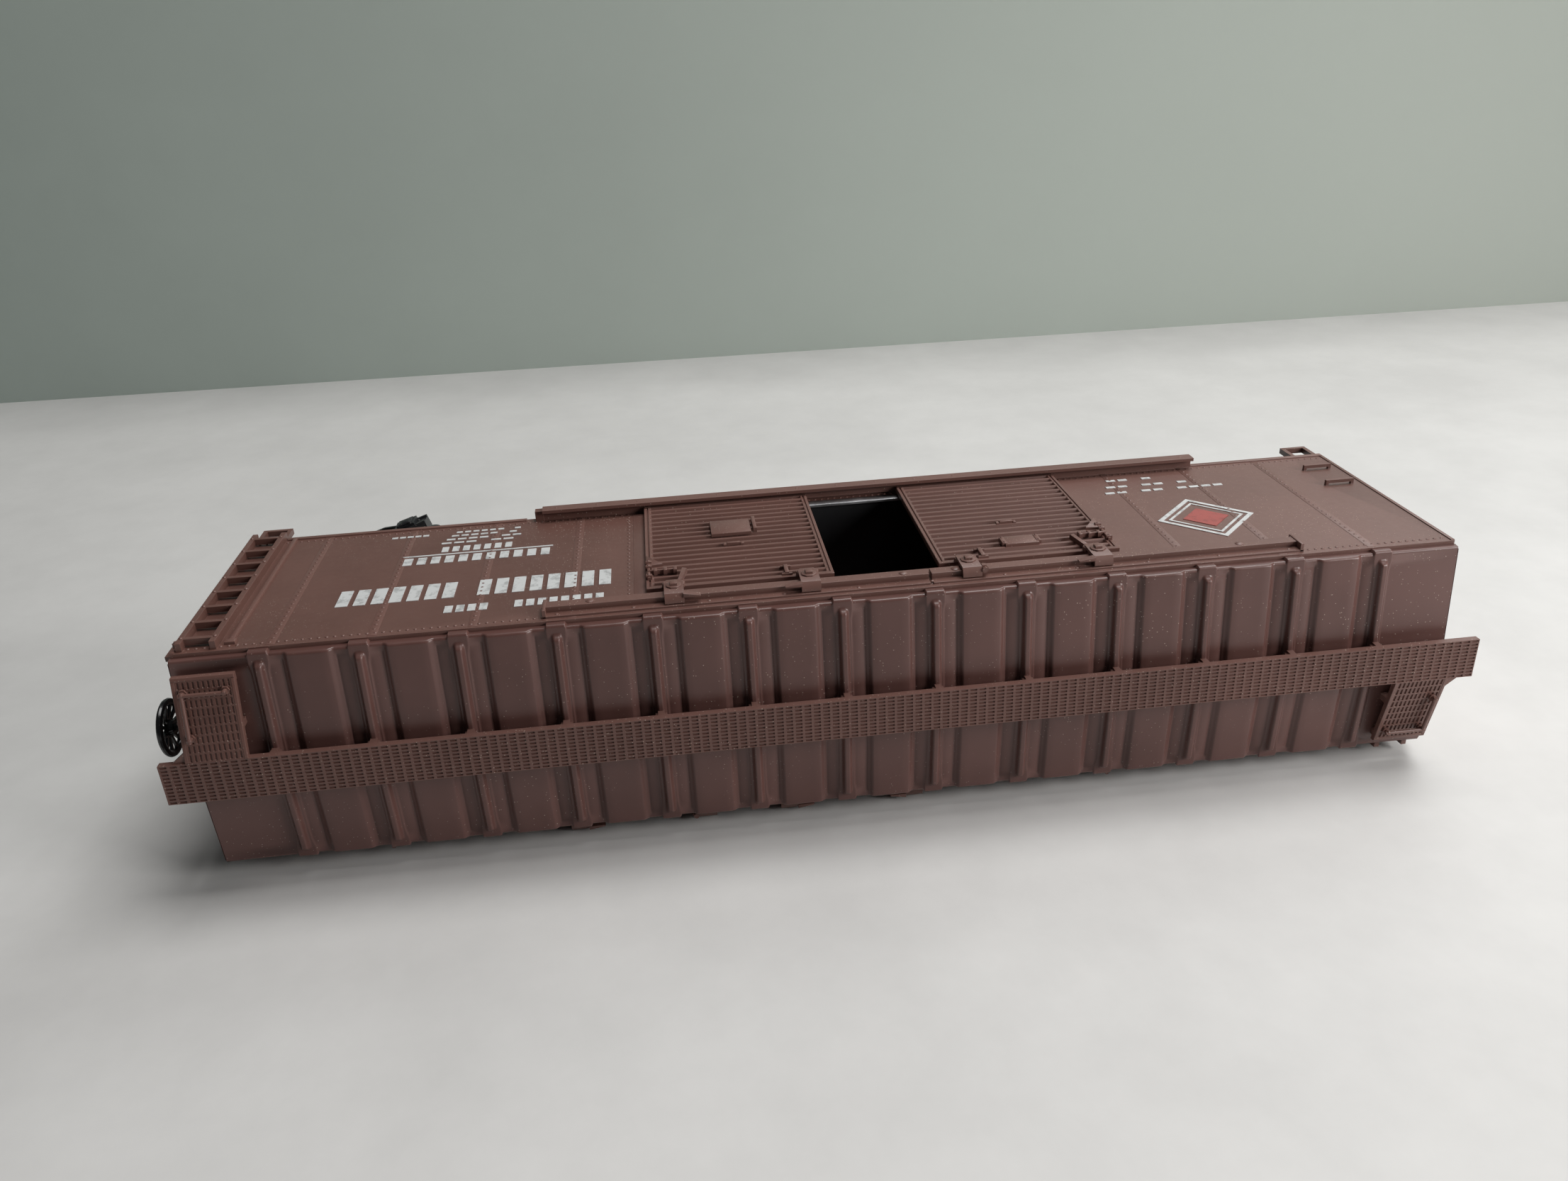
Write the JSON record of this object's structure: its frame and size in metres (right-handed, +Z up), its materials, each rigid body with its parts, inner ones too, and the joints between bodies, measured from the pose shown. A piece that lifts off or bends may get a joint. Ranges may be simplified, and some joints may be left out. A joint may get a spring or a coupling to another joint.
{
  "type": "model box car",
  "caption": "Double-door corrugated box car with sliding doors, seam-capped roof, running board, swivelling trucks and knuckle couplers.",
  "frame": {"origin": "on the rail top under the centre of the car", "axes": "+X along the car towards the brake-wheel end, +Z up, -Y towards the side whose doors stand open by one leaf shift"},
  "size_m": [0.1938, 0.0384, 0.0551],
  "materials": {
    "brown_plastic": "satin moulded",
    "black_plastic": "satin moulded",
    "wheel_plastic": "gloss",
    "bright_steel": "plated"
  },
  "bodies": {
    "car": {"body_shell": "brown_plastic", "running_board": "brown_plastic", "underframe": "black_plastic", "steel_weight_1": "bright_steel", "steel_weight_2": "bright_steel", "brake_cylinder": "black_plastic", "air_reservoir": "black_plastic", "control_valve": "black_plastic", "brake_lever": "black_plastic", "brake_rod_long": "black_plastic", "brake_rod_short": "black_plastic", "train_line": "black_plastic", "brake_housing": "brown_plastic", "brake_step": "brown_plastic", "chain_rod": "brown_plastic", "truck_screw_1": "bright_steel", "truck_screw_2": "bright_steel", "coupler_cover_1": "bright_steel", "coupler_screw_1": "bright_steel", "coupler_cover_2": "bright_steel", "coupler_screw_2": "bright_steel"},
    "front_right_leaf": {"door_front_right": "brown_plastic"},
    "front_left_leaf": {"door_front_left": "brown_plastic"},
    "rear_left_leaf": {"door_rear_left": "brown_plastic"},
    "rear_right_leaf": {"door_rear_right": "brown_plastic"},
    "hand_wheel": {"brake_wheel": "black_plastic"},
    "truck_1": {"truck_frame_1": "black_plastic"},
    "truck_2": {"truck_frame_2": "black_plastic"},
    "wheelset_1": {"axle_1": "bright_steel", "wheel_1": "wheel_plastic", "wheel_2": "wheel_plastic"},
    "wheelset_2": {"axle_2": "bright_steel", "wheel_3": "wheel_plastic", "wheel_4": "wheel_plastic"},
    "wheelset_3": {"axle_3": "bright_steel", "wheel_5": "wheel_plastic", "wheel_6": "wheel_plastic"},
    "wheelset_4": {"axle_4": "bright_steel", "wheel_7": "wheel_plastic", "wheel_8": "wheel_plastic"},
    "coupler_arm_1": {"coupler_1": "black_plastic"},
    "coupler_arm_2": {"coupler_2": "black_plastic"},
    "jaw_1": {"knuckle_1": "black_plastic"},
    "jaw_2": {"knuckle_2": "black_plastic"}
  },
  "joints": [
    {"name": "front_right_door_slide", "type": "slide", "parent": "car", "child": "front_right_leaf", "axis": [1, 0, 0], "range_m": [0, 0.0138]},
    {"name": "front_left_door_slide", "type": "slide", "parent": "car", "child": "front_left_leaf", "axis": [-1, 0, 0], "range_m": [-0.0148, 0.024]},
    {"name": "rear_left_door_slide", "type": "slide", "parent": "car", "child": "rear_left_leaf", "axis": [1, 0, 0], "range_m": [-0.0043, 0.0222]},
    {"name": "rear_right_door_slide", "type": "slide", "parent": "car", "child": "rear_right_leaf", "axis": [1, 0, 0], "range_m": [-0.026, 0.0043]},
    {"name": "hand_wheel_spin", "type": "hinge", "parent": "car", "child": "hand_wheel", "pos_m": [0.0931, -0.004, 0.0461], "axis": [1, 0, 0], "continuous": true},
    {"name": "truck_1_swivel", "type": "hinge", "parent": "car", "child": "truck_1", "pos_m": [0.071, 0, 0.0093], "axis": [0, 0, 1], "range_deg": [-36, 0]},
    {"name": "truck_2_swivel", "type": "hinge", "parent": "car", "child": "truck_2", "pos_m": [-0.071, 0, 0.0093], "axis": [0, 0, 1], "range_deg": [-18, 18]},
    {"name": "wheelset_1_roll", "type": "hinge", "parent": "truck_1", "child": "wheelset_1", "pos_m": [0.08018, 0.00298, 0.00545], "axis": [-0.309, 0.9511, 0], "continuous": true},
    {"name": "wheelset_2_roll", "type": "hinge", "parent": "truck_1", "child": "wheelset_2", "pos_m": [0.06182, -0.00298, 0.00545], "axis": [-0.309, 0.9511, 0], "continuous": true},
    {"name": "wheelset_3_roll", "type": "hinge", "parent": "truck_2", "child": "wheelset_3", "pos_m": [-0.06135, 0, 0.00545], "axis": [0, 1, 0], "continuous": true},
    {"name": "wheelset_4_roll", "type": "hinge", "parent": "truck_2", "child": "wheelset_4", "pos_m": [-0.08065, 0, 0.00545], "axis": [0, 1, 0], "continuous": true},
    {"name": "coupler_1_swing", "type": "hinge", "parent": "car", "child": "coupler_arm_1", "pos_m": [0.0832, 0, 0.0103], "axis": [0, 0, 1], "range_deg": [-9, 9], "stiffness_Nm_per_rad": 0.0002},
    {"name": "coupler_2_swing", "type": "hinge", "parent": "car", "child": "coupler_arm_2", "pos_m": [-0.0832, 0, 0.0103], "axis": [0, 0, 1], "range_deg": [-9, 9], "stiffness_Nm_per_rad": 0.0002},
    {"name": "knuckle_1_hinge", "type": "hinge", "parent": "coupler_arm_1", "child": "jaw_1", "pos_m": [0.0952, 0.0013, 0.0103], "axis": [0, 0, 1], "range_deg": [0, 35], "stiffness_Nm_per_rad": 0.00002},
    {"name": "knuckle_2_hinge", "type": "hinge", "parent": "coupler_arm_2", "child": "jaw_2", "pos_m": [-0.0952, -0.0013, 0.0103], "axis": [0, 0, 1], "range_deg": [0, 35], "stiffness_Nm_per_rad": 0.00002}
  ]
}
